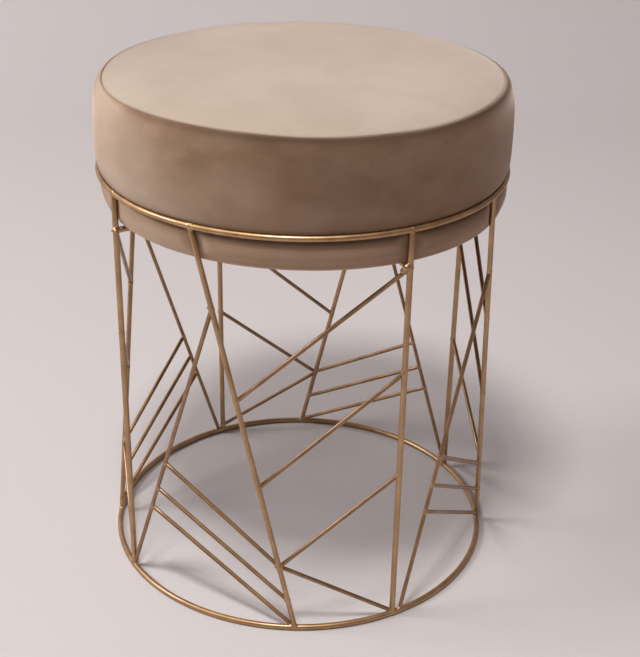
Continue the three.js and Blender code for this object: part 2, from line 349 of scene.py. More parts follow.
# Diagonals, rungs and braces: thinner wires that fill each sector of the drum. A diagonal runs
# from high on the leaning strut to the upright's foot, three rungs lie between the two, and
# four braces join the leaning strut to the next upright. The finer wire takes a browner gold.

FINE_GOLD = gold_finish(
    "gold_lacquer_fine", shade(140, 113, 82), shade(159, 131, 99), shade(178, 151, 120))
INFILL_WIRE = 0.0036
DIAGONAL_FOOT_STEPS = (0, 0.0075, 0, 0.0045)  # along the ring from the upright

# Where the ends meet other wires, as shares of those wires' lengths from the top, by sector
DIAGONAL_TOPS = (0.186, 0.2, 0.197, 0.193)
RUNG_UPPER_ENDS = (
    (0.562, 0.664, 0.74), (0.537, 0.62, 0.7), (0.565, 0.65, 0.723), (0.546, 0.633, 0.712))
RUNG_LOWER_ENDS = (
    (0.831, 0.925, 1), (0.805, 0.895, 0.985), (0.827, 0.913, 0.995), (0.812, 0.897, 0.97))
BRACE_UPPER_ENDS = ((0.34, 0.604), (0.305, 0.593), (0.36, 0.61), (0.345, 0.61))
BRACE_LOWER_ENDS = (
    (0.405, 0.622, 0.832), (0.335, 0.567, 0.77), (0.38, 0.63, 0.829), (0.391, 0.61, 0.815))
FOOT_BRACE_UPPER_ENDS = (0.83, 0.803, 0.83, 0.823)
FOOT_BRACE_LOWER_ENDS = (0.995, 0.975, 0.985, 0.985)
SEAT_BAR_LINE = 0.0317  # below the top ring, where a seat bar meets an upright
BAR_SHARE = SEAT_BAR_LINE / (TOP_RING - BOTTOM_RING)


def weld_on(k, wire, point, away, host):
    """Notes a joint where the end of a wire meets a host wire."""
    run = host.run if isinstance(host, Wire) else ring_run(point)
    thick = host.diameter if isinstance(host, Wire) else RING_WIRE
    joints.append((k, point, [(away, wire.diameter), (run, thick), (-run, thick)]))


for k in SECTORS:
    near, strut, after = uprights[k], leaners[k], uprights[(k + 1) % 4]
    step = math.degrees(DIAGONAL_FOOT_STEPS[k] / RING_RADIUS)
    foot = on_drum(UPRIGHT_TURNS[k] + step, BOTTOM_RING)
    diagonal = Wire(strut.at(DIAGONAL_TOPS[k]), foot, INFILL_WIRE)
    lengths = {f"diagonal_{k + 1}": (diagonal, strut, None)}
    for i, level in enumerate(("upper", "middle", "lower")):
        rung = Wire(
            diagonal.at(RUNG_UPPER_ENDS[k][i]), strut.at(RUNG_LOWER_ENDS[k][i]), INFILL_WIRE)
        lengths[f"rung_{k + 1}_{level}"] = (rung, diagonal, strut)
        upper = (BAR_SHARE, *BRACE_UPPER_ENDS[k])[i]
        brace = Wire(after.at(upper), strut.at(BRACE_LOWER_ENDS[k][i]), INFILL_WIRE)
        lengths[f"brace_{k + 1}_{level}"] = (brace, after, strut)
    last = Wire(
        strut.at(FOOT_BRACE_UPPER_ENDS[k]), after.at(FOOT_BRACE_LOWER_ENDS[k]), INFILL_WIRE)
    lengths[f"brace_{k + 1}_foot"] = (last, strut, after)
    for node, (wire, first, second) in lengths.items():
        cut_wire(node, wire, FINE_GOLD)
        weld_on(k, wire, wire.start, wire.run, first)
        weld_on(k, wire, wire.end, -wire.run, second)


# Seat bars: a cross of 5 mm wire just under the seat, welded to the uprights. One bar runs
# right across, and a half bar is butted to each side of it.

SEAT_BAR_WIRE = 0.005
bar_ends = [upright.at(BAR_SHARE) for upright in uprights]
bar_centre = Vector((0, 0, bar_ends[0].z))
seat_bars = {
    "seat_bar_long": Wire(bar_ends[2], bar_ends[0], SEAT_BAR_WIRE),
    "seat_bar_half_1": Wire(bar_centre, bar_ends[1], SEAT_BAR_WIRE),
    "seat_bar_half_2": Wire(bar_centre, bar_ends[3], SEAT_BAR_WIRE),
}
for node, bar in seat_bars.items():
    cut_wire(node, bar, GOLD)
for k in SECTORS:
    inward = (bar_centre - bar_ends[k]).normalized()
    joints.append((k, bar_ends[k], [
        (inward, SEAT_BAR_WIRE),
        (uprights[k].run, UPRIGHT_WIRE), (-uprights[k].run, UPRIGHT_WIRE),
    ]))
long_run = seat_bars["seat_bar_long"].run
for k in (1, 3):
    half_run = (bar_ends[k] - bar_centre).normalized()
    joints.append((k, bar_centre, [
        (half_run, SEAT_BAR_WIRE), (long_run, SEAT_BAR_WIRE), (-long_run, SEAT_BAR_WIRE),
    ]))


# Welds: every joint is tacked and flows into a small smooth fillet under the plating. Here a
# short collar lies on each wire at a joint, and one skin is drawn over them and smoothed.

WELD_REACH = 0.0062  # how far a fillet runs out along a wire
WELD_RISE = 0.00042  # how much thicker it is at the joint
WELD_SKIN = 0.0006
COLLAR_SIDES, COLLAR_SINK = 14, 0.0004
TACK, TACK_ALONG, TACK_ASIDE = 0.0013, 0.0022, 0.0014  # a tack's radius and place at its joint
DROPS = (  # sector, joint, how far out, along the ring and up a drop of metal lies, its radius
    (0, uprights[0].start, 0.0012, 0.0004, 0.0018, 0.0017),
    (0, bar_ends[0], 0.0022, 0.0012, 0.0010, 0.0024),
    (0, bar_ends[0], 0.0014, 0.0034, 0.0004, 0.0018),
    (0, leaners[0].start, 0.0015, -0.0042, 0.0009, 0.0012),
    (0, leaners[0].start, 0.0015, 0.0040, 0.0008, 0.0014),
    (1, uprights[1].start, 0.0014, 0.0012, 0.0006, 0.0018),
    (1, uprights[1].start, 0.0022, -0.0006, -0.0012, 0.0019),
    (1, bar_ends[1], 0.0004, -0.0036, 0.0014, 0.0034),
    (1, bar_ends[1], -0.0010, -0.0056, -0.0018, 0.0027),
    (1, uprights[1].at(BRACE_UPPER_ENDS[0][0]), 0.0010, -0.0028, 0.0008, 0.0017),
    (0, leaners[0].at(RUNG_LOWER_ENDS[0][0]), 0.0008, -0.0024, 0.0004, 0.0016),
    (0, leaners[0].at(BRACE_LOWER_ENDS[0][2]), 0.0010, 0.0022, 0.0006, 0.0016),
    (0, leaners[0].at(DIAGONAL_TOPS[0]), 0.0004, -0.0028, 0.0008, 0.0014),
    (0, leaners[0].at(RUNG_LOWER_ENDS[0][1]), 0.0008, -0.0022, 0.0006, 0.0014),
    (1, uprights[1].at(BRACE_UPPER_ENDS[0][1]), 0.0008, -0.0024, 0.0, 0.0014),
)


def collar(point, run, diameter, rise):
    """The part of a fillet that lies on one wire, from a joint outwards."""
    bpy.ops.mesh.primitive_cone_add(
        vertices=COLLAR_SIDES, radius1=diameter / 2 + rise, radius2=diameter / 2 - COLLAR_SINK,
        depth=WELD_REACH, location=point + run * WELD_REACH / 2,
        rotation=run.to_track_quat("Z", "Y").to_euler(),
    )


def blob(place, radius):
    bpy.ops.mesh.primitive_ico_sphere_add(subdivisions=2, radius=radius, location=place)


for k in SECTORS:
    hand = random.Random(f"welder {k}")
    start_clean()
    first = True
    for sector, point, wires in joints:
        if sector != k:
            continue
        rise = WELD_RISE * hand.uniform(0.75, 1.35)
        aside = Vector([hand.uniform(-1, 1) for _ in range(3)]).normalized()
        tack = TACK * hand.uniform(0.75, 1.2)
        blob(point + wires[0][0] * TACK_ALONG + aside * TACK_ASIDE, tack)
        if first:
            skin = named(f"welds_{k + 1}")
            bpy.ops.object.mode_set(mode="EDIT")
            first = False
        for run, diameter in wires:
            if point.z + run.z * WELD_REACH > 0:
                collar(point, run, diameter, rise)
    for sector, point, out, along, rise, radius in DROPS:
        if sector == k:
            outward = Vector((point.x, point.y, 0)).normalized()
            blob(point + outward * out + ring_run(point) * along + Vector((0, 0, rise)), radius)
    bpy.ops.object.mode_set(mode="OBJECT")
    fuse = skin.modifiers.new("fuse", "REMESH")
    fuse.mode = "VOXEL"
    fuse.voxel_size = WELD_SKIN
    flow = skin.modifiers.new("flow", "SMOOTH")
    flow.factor = 0.5
    flow.iterations = 7
    for modifier in ("fuse", "flow"):
        bpy.ops.object.modifier_apply(modifier=modifier)
    for vertex in skin.data.vertices:
        vertex.co.z = max(vertex.co.z, 0)  # ground flush under the bottom ring
    finished(skin, GOLD, "gold_wire", angle=180)


# Tabs: a drilled steel plate welded beside each arm of the cross, flush with its top. The seat
# is screwed to them from below. Their edges were broken before plating.

def dressed(node, bevel, material, slot):
    """A finished copy of a CAD node, with its facets joined and its hard edges broken."""
    start_clean()
    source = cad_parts[node]
    piece = source.copy()
    piece.data = source.data.copy()
    piece.name = node + "_finished"
    piece.data.name = piece.name
    bpy.context.collection.objects.link(piece)
    bpy.context.view_layer.objects.active = piece
    piece.select_set(True)
    bpy.ops.object.mode_set(mode="EDIT")
    bpy.ops.mesh.select_all(action="SELECT")
    bpy.ops.mesh.remove_doubles(threshold=1e-6)
    bpy.ops.mesh.dissolve_limited(angle_limit=math.radians(2))
    bpy.ops.object.mode_set(mode="OBJECT")
    edge = piece.modifiers.new("edge", "BEVEL")
    edge.width = bevel
    edge.segments = 2
    edge.angle_limit = math.radians(50)
    bpy.ops.object.modifier_apply(modifier="edge")
    return finished(piece, material, slot, node, angle=50)


for k in SECTORS:
    dressed(f"seat_tab_{k + 1}", bevel=0.0003, material=GOLD, slot="gold_wire")


# Seat board: a 12 mm disc of birch plywood, with its lower edge rounded so that the velvet
# turns round it smoothly. Nine plies show at its edge.

BOARD_THICKNESS, PLIES = 0.012, 9


def plywood_finish():
    plywood = Finish("birch_plywood", Coat_Weight=0.0)
    height = plywood.node("ShaderNodeSeparateXYZ", {}, {0: plywood.place()}, 2)
    grain = plywood.noise(plywood.place((6, 90, 1)), 5, 5, 0.6)
    ply = plywood.node(
        "ShaderNodeMath", {"operation": "PINGPONG"}, {0: height, 1: BOARD_THICKNESS / PLIES})
    layers = plywood.band(ply, 0.0005, 0.0008)
    wood = plywood.mixed(grain, shade(198, 168, 128), shade(226, 204, 168))
    return plywood.wear(
        Base_Color=plywood.mixed(layers * 0.35, wood, shade(140, 104, 70)),
        Roughness=0.62 + 0.15 * grain,
        Normal=plywood.bump(grain, 0.2, 0.0003),
    )


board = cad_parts["seat_board"]
board.data.materials.clear()
board.data.materials.append(plywood_finish())


# Foam: one block of cold-cure foam on the board, cut a little full so that it holds the cover
# tight. It is domed on top and swells out over the ring.

RING_GAP = 0.0003
SEAT_DEPTH = 0.0282
BELLY_HEIGHT, BELLY_OVERHANG = 0.028, 0.0022
SEAM_HEIGHT, SEAM_INSET = 0.0757, 0.0093
EDGE_RISE, DOME_RISE, WAIST_RISE = 0.008, 0.0023, 0.002
UNDER_RING, RING_PINCH = -0.002, 0.0002  # where the side passes the ring, and how far it gives
BELLY_FULLNESS = 2 / 3  # powers of the outline's curves: an ellipse has 1
SHOULDER_OUT, SHOULDER_UP = 2 / 2.3, 2 / 3
EDGE_POWER, DOME_POWER = 8, 2
VELVET = 0.0012
SEAM_WANDER, SEAM_WANDER_TURN, SEAM_LOOSE = 0.0011, math.radians(261), 0.030
BOARD_WRAP = 0.0015  # the velvet and its room round the board's edge
FOAM_ROOM, FOAM_FOOT_INSET = 0.0004, 0.001
FOAM_SHOULDER = 0.06  # above this height the cover lies on the foam, not only round it
FOAM_CROWN = (0.985, 0.95, 0.85, 0.6, 0.3, 0)  # shares of the seam's radius
WAIST = RING_RADIUS - RING_WIRE / 2 - RING_GAP
BELLY = RING_RADIUS + BELLY_OVERHANG
SEAM = BELLY - SEAM_INSET
BOARD_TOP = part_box("seat_board")[1][2] - TOP_RING
LOWER = max(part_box("seat_board")[1][:2]) + BOARD_WRAP
SEAT_STEPS, FOAM_STEPS, FOAM_SIDE_STEPS = 240, 96, 10


def side_line(bulge_steps, shoulder_steps):
    """The side's outline above the ring, as radius and height above the top ring."""
    line = [(WAIST, UNDER_RING), (WAIST - RING_PINCH, 0), (WAIST, WAIST_RISE)]
    for i in range(1, bulge_steps + 1):
        turn = math.pi / 2 * i / bulge_steps
        out = math.sin(turn) ** BELLY_FULLNESS
        up = 1 - max(math.cos(turn), 0) ** BELLY_FULLNESS
        line.append((WAIST + (BELLY - WAIST) * out, WAIST_RISE + (BELLY_HEIGHT - WAIST_RISE) * up))
    for i in range(1, shoulder_steps):
        turn = math.pi / 2 * i / shoulder_steps
        line.append((
            SEAM + (BELLY - SEAM) * math.cos(turn) ** SHOULDER_OUT,
            BELLY_HEIGHT + (SEAM_HEIGHT - BELLY_HEIGHT) * math.sin(turn) ** SHOULDER_UP,
        ))
    return line


def crown_line(shares):
    """The top's outline at these shares of the seam's radius."""
    line = []
    for share in shares:
        edge, dome = 1 - share ** EDGE_POWER, 1 - share ** DOME_POWER
        line.append((share * SEAM, SEAM_HEIGHT + EDGE_RISE * edge + DOME_RISE * dome))
    return line


def wandered(point):
    """How far the hand-guided seam has wandered up or down where a point of the seat is."""
    around = math.atan2(point.y, point.x)
    front = 0.5 - 0.5 * math.sin(around)
    out = math.hypot(point.x, point.y) / SEAM
    up = (point.z - TOP_RING - SEAM_HEIGHT) / SEAM_LOOSE
    near = min(1, out) ** 4 * min(1, max(0, 1 + up))
    return -SEAM_WANDER * math.sin(3 * around + SEAM_WANDER_TURN) * front * near


def turned(name, outline, steps=SEAT_STEPS):
    """A skin with this outline of radii and heights, spun round the stool's axis."""
    start_clean()
    points = [Vector((radius, 0, TOP_RING + height)) for radius, height in outline]
    bpy.ops.mesh.primitive_plane_add(size=0.001, location=points[0])
    piece = named(name)
    bpy.ops.object.mode_set(mode="EDIT")
    bpy.ops.mesh.select_mode(type="VERT")
    bpy.ops.mesh.select_all(action="SELECT")
    bpy.ops.mesh.merge(type="CENTER")
    for before, after in zip(points, points[1:]):
        bpy.ops.mesh.extrude_region_move(TRANSFORM_OT_translate={"value": after - before})
    bpy.ops.mesh.select_all(action="SELECT")
    bpy.ops.mesh.spin(steps=steps, angle=2 * math.pi, center=(0, 0, 0), axis=(0, 0, 1))
    bpy.ops.mesh.select_all(action="SELECT")
    bpy.ops.mesh.remove_doubles(threshold=1e-6)
    bpy.ops.mesh.normals_make_consistent(inside=False)
    bpy.ops.object.mode_set(mode="OBJECT")
    return piece


def foam_finish():
    foam = Finish("cut_foam", Roughness=0.95)
    cells = foam.noise(foam.place(), 1400, 2, 0.7)
    age = foam.noise(foam.place(), 18, 3)
    return foam.wear(
        Base_Color=foam.mixed(age, shade(226, 214, 180), shade(238, 230, 206)),
        Normal=foam.bump(cells, 0.5, 0.0006),
    )


inner = VELVET + FOAM_ROOM
foam_foot = BOARD_TOP + FOAM_ROOM
foam_line = [(0, foam_foot), (WAIST - inner - FOAM_FOOT_INSET, foam_foot)]
for radius, height in side_line(FOAM_SIDE_STEPS, FOAM_SIDE_STEPS):
    foam_line.append((radius - inner, height - inner * (height > FOAM_SHOULDER)))
foam_line += [(radius, height - inner) for radius, height in crown_line(FOAM_CROWN)]
foam_block = turned("foam_block", foam_line, FOAM_STEPS)
for vertex in foam_block.data.vertices:
    vertex.co.z += wandered(vertex.co)
finished(foam_block, foam_finish(), "foam", "foam_core", angle=50)


# Velvet cover: a round top panel sewn to one straight side band with a plain seam, pulled down
# over the foam and through the ring, and stapled under the board. The ring holds it in, and
# below it the band swells out again between the struts.

HEM = 0.014
LOWER_ROUND = 0.005
LOWER_SWELL, SWELL_FULLNESS = 0.0027, 0.7
SEAM_SINK, SEAM_LIP = 0.0007, 0.0006
SEAM_LIP_OUTER, SEAM_LIP_INNER = -0.00005, 0.0004  # the lips' heights from the seam's
HEM_STEPS, ROUND_STEPS, SWELL_STEPS, SIDE_STEPS = 4, 5, 9, 14
CROWN_SHARES = (
    0.983, 0.972, 0.96, 0.945, 0.927, 0.905, 0.88, 0.85, 0.815, 0.775, 0.73,
    0.68, 0.625, 0.565, 0.5, 0.43, 0.355, 0.275, 0.19, 0.1, 0,
)
LOOSE_HEM, HEM_EASE = 0.1565, 0.004  # radius at which the cover starts to hang, and over what
RIGHT_SLACK, LEFT_SLACK, SLACK_TURN = 0.0015, 0.0007, math.radians(30)
SLACK_POWER = 1.5
SWELL_MORE, SWELL_RIGHT, SWELL_DEPTH = 0.0004, 0.0012, 0.016  # extra swell, and where it is full
STRUT_REACH, STRUT_GAP = 0.02, 0.0002  # how far from a strut the cover is pressed in
STRUT_PRESS, STRUT_POWER, STRUT_CURVE = 0.35, 1.5, 3.2
PINNED, CROWN_HOLD, SIDE_HOLD = 1.0, 0.6, 0.25  # how firmly the parts of the cover are held
SEAM_HELD_UP, SEAM_HELD_IN, RING_HELD = 0.0013, 0.002, 0.003
SETTLE_PRESSURE, SETTLE_STEPS = 4, 20
COVER_CAP = 0.003  # the most that the cover moves while it settles
HAND_NOISE = ((14, 0.0005), (33, 0.0002))  # unevenness from stuffing: to the metre, and height
HAND_FROM, HAND_FADE = 0.004, 0.02  # above the ring


def strut_places(height):
    """Where the struts pass a height, as angle, inner radius and thickness."""
    share = -height / (TOP_RING - BOTTOM_RING)
    for strut in uprights + leaners:
        point = strut.at(share)
        inner_radius = math.hypot(point.x, point.y) - strut.diameter / 2
        yield math.atan2(point.y, point.x), inner_radius, strut.diameter


def lower_outline():
    """The cover's outline from the hem under the board out and up to the ring."""
    line = []
    for i in range(HEM_STEPS):
        line.append((LOWER - LOWER_ROUND - HEM * (1 - i / HEM_STEPS), -SEAT_DEPTH))
    for i in range(ROUND_STEPS + 1):
        turn = math.pi / 2 * i / ROUND_STEPS
        line.append((
            LOWER - LOWER_ROUND * (1 - math.sin(turn)),
            -SEAT_DEPTH + LOWER_ROUND * (1 - math.cos(turn)),
        ))
    top_of_round = line[-1][1]
    for i in range(1, SWELL_STEPS):
        share = i / SWELL_STEPS
        swell = LOWER_SWELL * math.sin(math.pi * share) ** SWELL_FULLNESS
        line.append((
            LOWER + (WAIST - LOWER) * share + swell,
            top_of_round + (UNDER_RING - top_of_round) * share,
        ))
    return line


seam_line = [
    (SEAM + SEAM_LIP, SEAM_HEIGHT + SEAM_LIP_OUTER),
    (SEAM, SEAM_HEIGHT - SEAM_SINK),
    (SEAM - SEAM_LIP, SEAM_HEIGHT + SEAM_LIP_INNER),
]
cover = turned("cover", (
    lower_outline() + side_line(SIDE_STEPS, SIDE_STEPS) + seam_line + crown_line(CROWN_SHARES)
))

mesh = cover.data
rest = np.empty(len(mesh.vertices) * 3)
mesh.vertices.foreach_get("co", rest)
rest = rest.reshape(-1, 3)
radius = np.hypot(rest[:, 0], rest[:, 1])
height = rest[:, 2] - TOP_RING
around = np.arctan2(rest[:, 1], rest[:, 0])
on_panel = (height > SEAM_HEIGHT - SEAM_SINK - 1e-5) & (radius < SEAM + 1e-5)
low = (height < -0.001) & (radius > LOWER - LOWER_ROUND)
hanging = np.clip((radius - LOOSE_HEM) / HEM_EASE, 0, 1)
hanging = hanging * np.clip(-height / SEAT_DEPTH, 0, 1) ** SLACK_POWER
right_slack = RIGHT_SLACK * np.maximum(0, np.cos(around + SLACK_TURN))
left_slack = LEFT_SLACK * np.maximum(0, -np.cos(around))
rest[:, 2] -= hanging * (right_slack + left_slack)
fuller = low * np.clip(-height / SWELL_DEPTH, 0, 1)
radius = radius + fuller * (SWELL_MORE + SWELL_RIGHT * np.cos(around))
for i in np.flatnonzero(low):
    for turn, clear, thick in strut_places(height[i]):
        arc = abs(math.remainder(around[i] - turn, 2 * math.pi)) * RING_RADIUS
        if arc < STRUT_REACH:
            out = max(0, arc - thick * STRUT_PRESS) ** STRUT_POWER * STRUT_CURVE
            radius[i] = min(radius[i], clear - STRUT_GAP + out)
rest[:, 0] = radius * np.cos(around)
rest[:, 1] = radius * np.sin(around)
mesh.vertices.foreach_set("co", rest.ravel())
mesh.update()

# The outline is already close to rest, so the cloth moves it by a tenth of a millimetre or less.
on_seam = np.abs(rest[:, 2] - TOP_RING - SEAM_HEIGHT) < SEAM_HELD_UP
held = cover.vertex_groups.new(name="held")
for i in range(len(rest)):
    if height[i] < RING_HELD or (on_seam[i] and radius[i] > SEAM - SEAM_HELD_IN):
        weight = PINNED
    elif radius[i] < SEAM and height[i] > SEAM_HEIGHT:
        weight = CROWN_HOLD
    else:
        weight = SIDE_HOLD
    held.add([i], weight, "REPLACE")
cloth = cover.modifiers.new("settle", "CLOTH")
cloth.settings.vertex_group_mass = "held"
cloth.settings.use_pressure = True
cloth.settings.uniform_pressure_force = SETTLE_PRESSURE
cloth.settings.quality = 6
cloth.settings.effector_weights.gravity = 0
cloth.collision_settings.use_collision = False
for step in range(1, SETTLE_STEPS + 1):
    bpy.context.scene.frame_set(step)
settled = cover.evaluated_get(bpy.context.evaluated_depsgraph_get()).to_mesh()
now = np.empty(len(rest) * 3)
settled.vertices.foreach_get("co", now)
moved = now.reshape(-1, 3) - rest
reach = np.linalg.norm(moved, axis=1)
print("cover settled by", round(1000 * float(reach.max()), 2), "mm")
rest = rest + moved * np.minimum(1, COVER_CAP / np.maximum(reach, 1e-9))[:, None]
cover.modifiers.remove(cloth)
bpy.context.scene.frame_set(1)
mesh.vertices.foreach_set("co", rest.ravel())
mesh.update()

for i, vertex in enumerate(mesh.vertices):
    if height[i] > HAND_FROM:
        point = Vector(rest[i])
        hand = sum(noise.noise(point * scale) * rise for scale, rise in HAND_NOISE)
        vertex.co = point + vertex.normal * hand * min(1, (height[i] - HAND_FROM) / HAND_FADE)
        vertex.co.z += wandered(point)


SHADED_SIDE = (0.45, -0.76, 0.47)  # the side that faces away from the window; surfaces facing it are painted darker, as painted shade
# Tones for painted shade and light: a deep brown for painted shade, a warm brown for the shade on
# the right, a pale tone for painted light on the left, and a duller tone for the edge that faces
# the window.
PILE_IN_SHADE, WARM_SHADE_TONE = shade(64, 43, 27), shade(141, 81, 43)
PILE_IN_LIGHT, WINDOW_EDGE_TONE = shade(209, 195, 177), shade(118, 91, 75)
FLOOR_LIGHT_TONE = shade(207, 174, 146)  # painted light on the band below the ring, where light from the floor reaches it
# Patches of pile that lies otherwise. Several are painted shade and painted light: darker at the
# front right, and lighter on the left just above the ring.
PILE_PATCHES_AND_PAINTED_LIGHT = (  # degrees round, height above the ring, half length, half width, slant, depth
    (-121, 0.063, 0.036, 0.014, 0, 0.14),
    (-116, 0.052, 0.030, 0.012, 32, 0.15),
    (-109, 0.072, 0.022, 0.009, 8, -0.06),
    (-112, 0.024, 0.045, 0.026, 14, -0.13),
    (-148, 0.012, 0.045, 0.014, 0, -0.22),
    (-79, 0.042, 0.034, 0.020, -35, -0.05),
    (-100, 0.060, 0.026, 0.012, -10, 0.07),
    (-86, 0.016, 0.022, 0.016, 10, -0.07),
    (-63, 0.055, 0.040, 0.015, 5, 0.09),
    (-52, 0.042, 0.050, 0.032, 0, 0.10),
    (-40, 0.028, 0.036, 0.017, 25, -0.05),
    (-22, 0.050, 0.028, 0.016, -20, -0.08),
    (25, 0.045, 0.050, 0.018, 20, 0.13),
    (62, 0.058, 0.042, 0.014, -8, -0.12),
    (95, 0.032, 0.048, 0.020, 28, 0.14),
    (140, 0.052, 0.040, 0.017, -25, 0.11),
)


def velvet_finish(name, sheen, dark, middle, light, lean_shade, turn_shade,
                  seam_width, seam_shade, pile_patches_and_painted_light=()):
    """Velvet in three tones of brushed pile, with painted shade and light by how it faces the
    lamps.
    """
    velvet = Finish(
        name, Sheen_Weight=0.75, Sheen_Roughness=0.4, Sheen_Tint=sheen,
        Roughness=0.9, IOR=1.35,
    )
    place = velvet.place()
    clouds = velvet.noise(place, 12, 3, 0.45)
    strokes = velvet.noise(velvet.place((1, 1, 1.7)), 32, 4, 0.55)
    pile = velvet.noise(place, 2600, 2, 0.6)
    nap = 0.62 * clouds + 0.38 * strokes
    tones = velvet.ramp(nap, (0.4, dark), (0.5, middle), (0.6, light))
    tones = velvet.mixed(pile * 0.18, tones, dark)

    facing = velvet.node("ShaderNodeNewGeometry", {}, {}, "Normal")
    dot = velvet.node(
        "ShaderNodeVectorMath", {"operation": "DOT_PRODUCT"}, {0: facing, 1: SHADED_SIDE}, "Value")
    upward = velvet.node("ShaderNodeSeparateXYZ", {}, {0: facing}, 2)
    x, y, height = (
        velvet.node("ShaderNodeSeparateXYZ", {}, {0: place}, out) for out in range(3))
    level = velvet.node(
        "ShaderNodeVectorMath", {"operation": "MULTIPLY"}, {0: place, 1: (1, 1, 0)})
    radius = velvet.node("ShaderNodeVectorMath", {"operation": "LENGTH"}, {0: level}, "Value")
    toward_shade = x * SHADED_SIDE[0] + y * SHADED_SIDE[1]

    # Painted shade and light by which way a surface faces: shade away from the window, painted
    # light on the left, a duller tone at the edge facing the window, and warm shade on the right
    facing_shade = velvet.band(dot, 0.15, 0.88)
    facing_light = velvet.band(dot, -0.25, 0) * velvet.band(dot, 0.5, 0.2)
    facing_light *= velvet.band(x, 0.4 * SEAM, -0.2 * SEAM)
    # Painted tone: the edge that faces the window is painted duller and greyer, to tone down its
    # lit sheen.
    away = velvet.band(dot, 0, -0.35)
    warm_shade_side = velvet.band(x, 0.25 * SEAM, 0.8 * SEAM)
    tones = velvet.mixed(facing_shade * lean_shade, tones, PILE_IN_SHADE)
    tones = velvet.mixed(facing_light * lean_shade * 0.8, tones, PILE_IN_LIGHT)
    tones = velvet.mixed(away * lean_shade * 1.35, tones, WINDOW_EDGE_TONE)
    tones = velvet.mixed(warm_shade_side * lean_shade * 0.5, tones, WARM_SHADE_TONE)

    # Patches of pile, each an oval with a ragged edge; several are painted shade and painted light
    around = velvet.node("ShaderNodeMath", {"operation": "ARCTAN2"}, {0: y, 1: x}) * BELLY
    for turn, middle_height, half_length, half_width, slant, depth in pile_patches_and_painted_light:
        along = around - math.radians(turn) * BELLY
        across = height - (TOP_RING + middle_height)
        slant = math.radians(slant)
        long_way = (along * math.cos(slant) + across * math.sin(slant)) / half_length
        short_way = (across * math.cos(slant) - along * math.sin(slant)) / half_width
        reach = (long_way * long_way + short_way * short_way) ** 0.5 + (strokes - 0.5) * 1.2
        mark = velvet.band(reach, 1.5, 0.3) * abs(depth)
        tones = velvet.mixed(mark, tones, PILE_IN_SHADE if depth > 0 else PILE_IN_LIGHT)

    # Painted light on the band below the ring; painted shade on the turn of the top edge, in the
    # seam's groove and in the crease at the ring
    below = velvet.band(height, TOP_RING - 0.002, TOP_RING - 0.007)
    below *= 0.62 + 0.38 * velvet.band(x, 0.75 * SEAM, 0.1 * SEAM)
    shoulder_shade = velvet.band(upward, 0, 0.7) * facing_shade
    shoulder_shade += 0.35 * velvet.band(upward, 0.5, 0.85) * velvet.band(x, 0.5 * SEAM, 0.95 * SEAM)
    seam_groove_shade = velvet.band(radius, SEAM + seam_width, SEAM)
    seam_groove_shade *= velvet.band(radius, SEAM - seam_width, SEAM)
    seam_groove_shade *= velvet.band(height, TOP_RING + BELLY_HEIGHT, TOP_RING + SEAM_HEIGHT - 0.004)
    seam_groove_shade *= velvet.band(y, -0.2 * SEAM, -0.6 * SEAM)
    seam_groove_shade *= 0.5 + 0.5 * velvet.band(toward_shade, -0.1 * SEAM, 0.45 * SEAM)
    crease_shade = velvet.band(height, TOP_RING - 0.0085, TOP_RING - 0.004)
    crease_shade *= velvet.band(height, TOP_RING + 0.0065, TOP_RING + 0.0035)
    crease_shade *= velvet.band(toward_shade, 0, 0.5 * SEAM)
    tones = velvet.mixed(below * 0.4, tones, FLOOR_LIGHT_TONE)
    tones = velvet.mixed(shoulder_shade * turn_shade, tones, PILE_IN_SHADE)
    tones = velvet.mixed(seam_groove_shade * seam_shade, tones, PILE_IN_SHADE)
    return velvet.wear(
        Base_Color=velvet.mixed(crease_shade * 0.35, tones, PILE_IN_SHADE),
        Normal=velvet.bump(pile + 0.6 * strokes, 0.22, 0.0005),
    )


# The top panel's tones are paler and less saturated than the side band's: partly the pile lying
# another way on the top, partly painted light where the top faces the lamps overhead.
SIDE_VELVET = velvet_finish(
    "velvet_side", shade(236, 217, 203),
    shade(151, 119, 94), shade(168, 135, 109), shade(183, 151, 125),
    lean_shade=0.37, turn_shade=0.75, seam_width=0.0015, seam_shade=0.85, pile_patches_and_painted_light=PILE_PATCHES_AND_PAINTED_LIGHT)
TOP_VELVET = velvet_finish(
    "velvet_top", shade(255, 244, 236),
    shade(175, 158, 142), shade(180, 163, 147), shade(185, 169, 153),
    lean_shade=0.0, turn_shade=0.0, seam_width=0.0010, seam_shade=0.6)

start_clean()
bpy.context.view_layer.objects.active = cover
cover.select_set(True)
pick(cover, "FACE", lambda face: all(on_panel[i] for i in face.vertices))
bpy.ops.mesh.separate(type="SELECTED")
bpy.ops.object.mode_set(mode="OBJECT")
panel = next(piece for piece in bpy.context.selected_objects if piece is not cover)
panel.name, cover.name = "velvet_top_panel", "velvet_side_band"
for piece, finish, node in ((panel, TOP_VELVET, "velvet_top"), (cover, SIDE_VELVET, "velvet_side")):
    start_clean()
    bpy.context.view_layer.objects.active = piece
    piece.select_set(True)
    cloth_body = piece.modifiers.new("body", "SOLIDIFY")
    cloth_body.thickness = VELVET
    cloth_body.offset = -1
    bpy.ops.object.modifier_apply(modifier="body")
    finished(piece, finish, "velvet", node, angle=60)


# Lining: a disc of black non-woven cloth over the velvet's hem, fixed to the board with wire
# staples. The seat's screws pass through it.

def lining_finish():
    lining = Finish("black_lining", Roughness=0.9)
    weave = lining.noise(lining.place(), 1500, 3, 0.7)
    age = lining.noise(lining.place(), 25, 3)
    return lining.wear(
        Base_Color=lining.mixed(age, shade(34, 32, 32), shade(50, 48, 47)),
        Normal=lining.bump(weave, 0.4, 0.0004),
    )


lining = dressed("dust_cover", bevel=0.00005, material=lining_finish(), slot="lining")
lining_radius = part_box("dust_cover")[1][0]


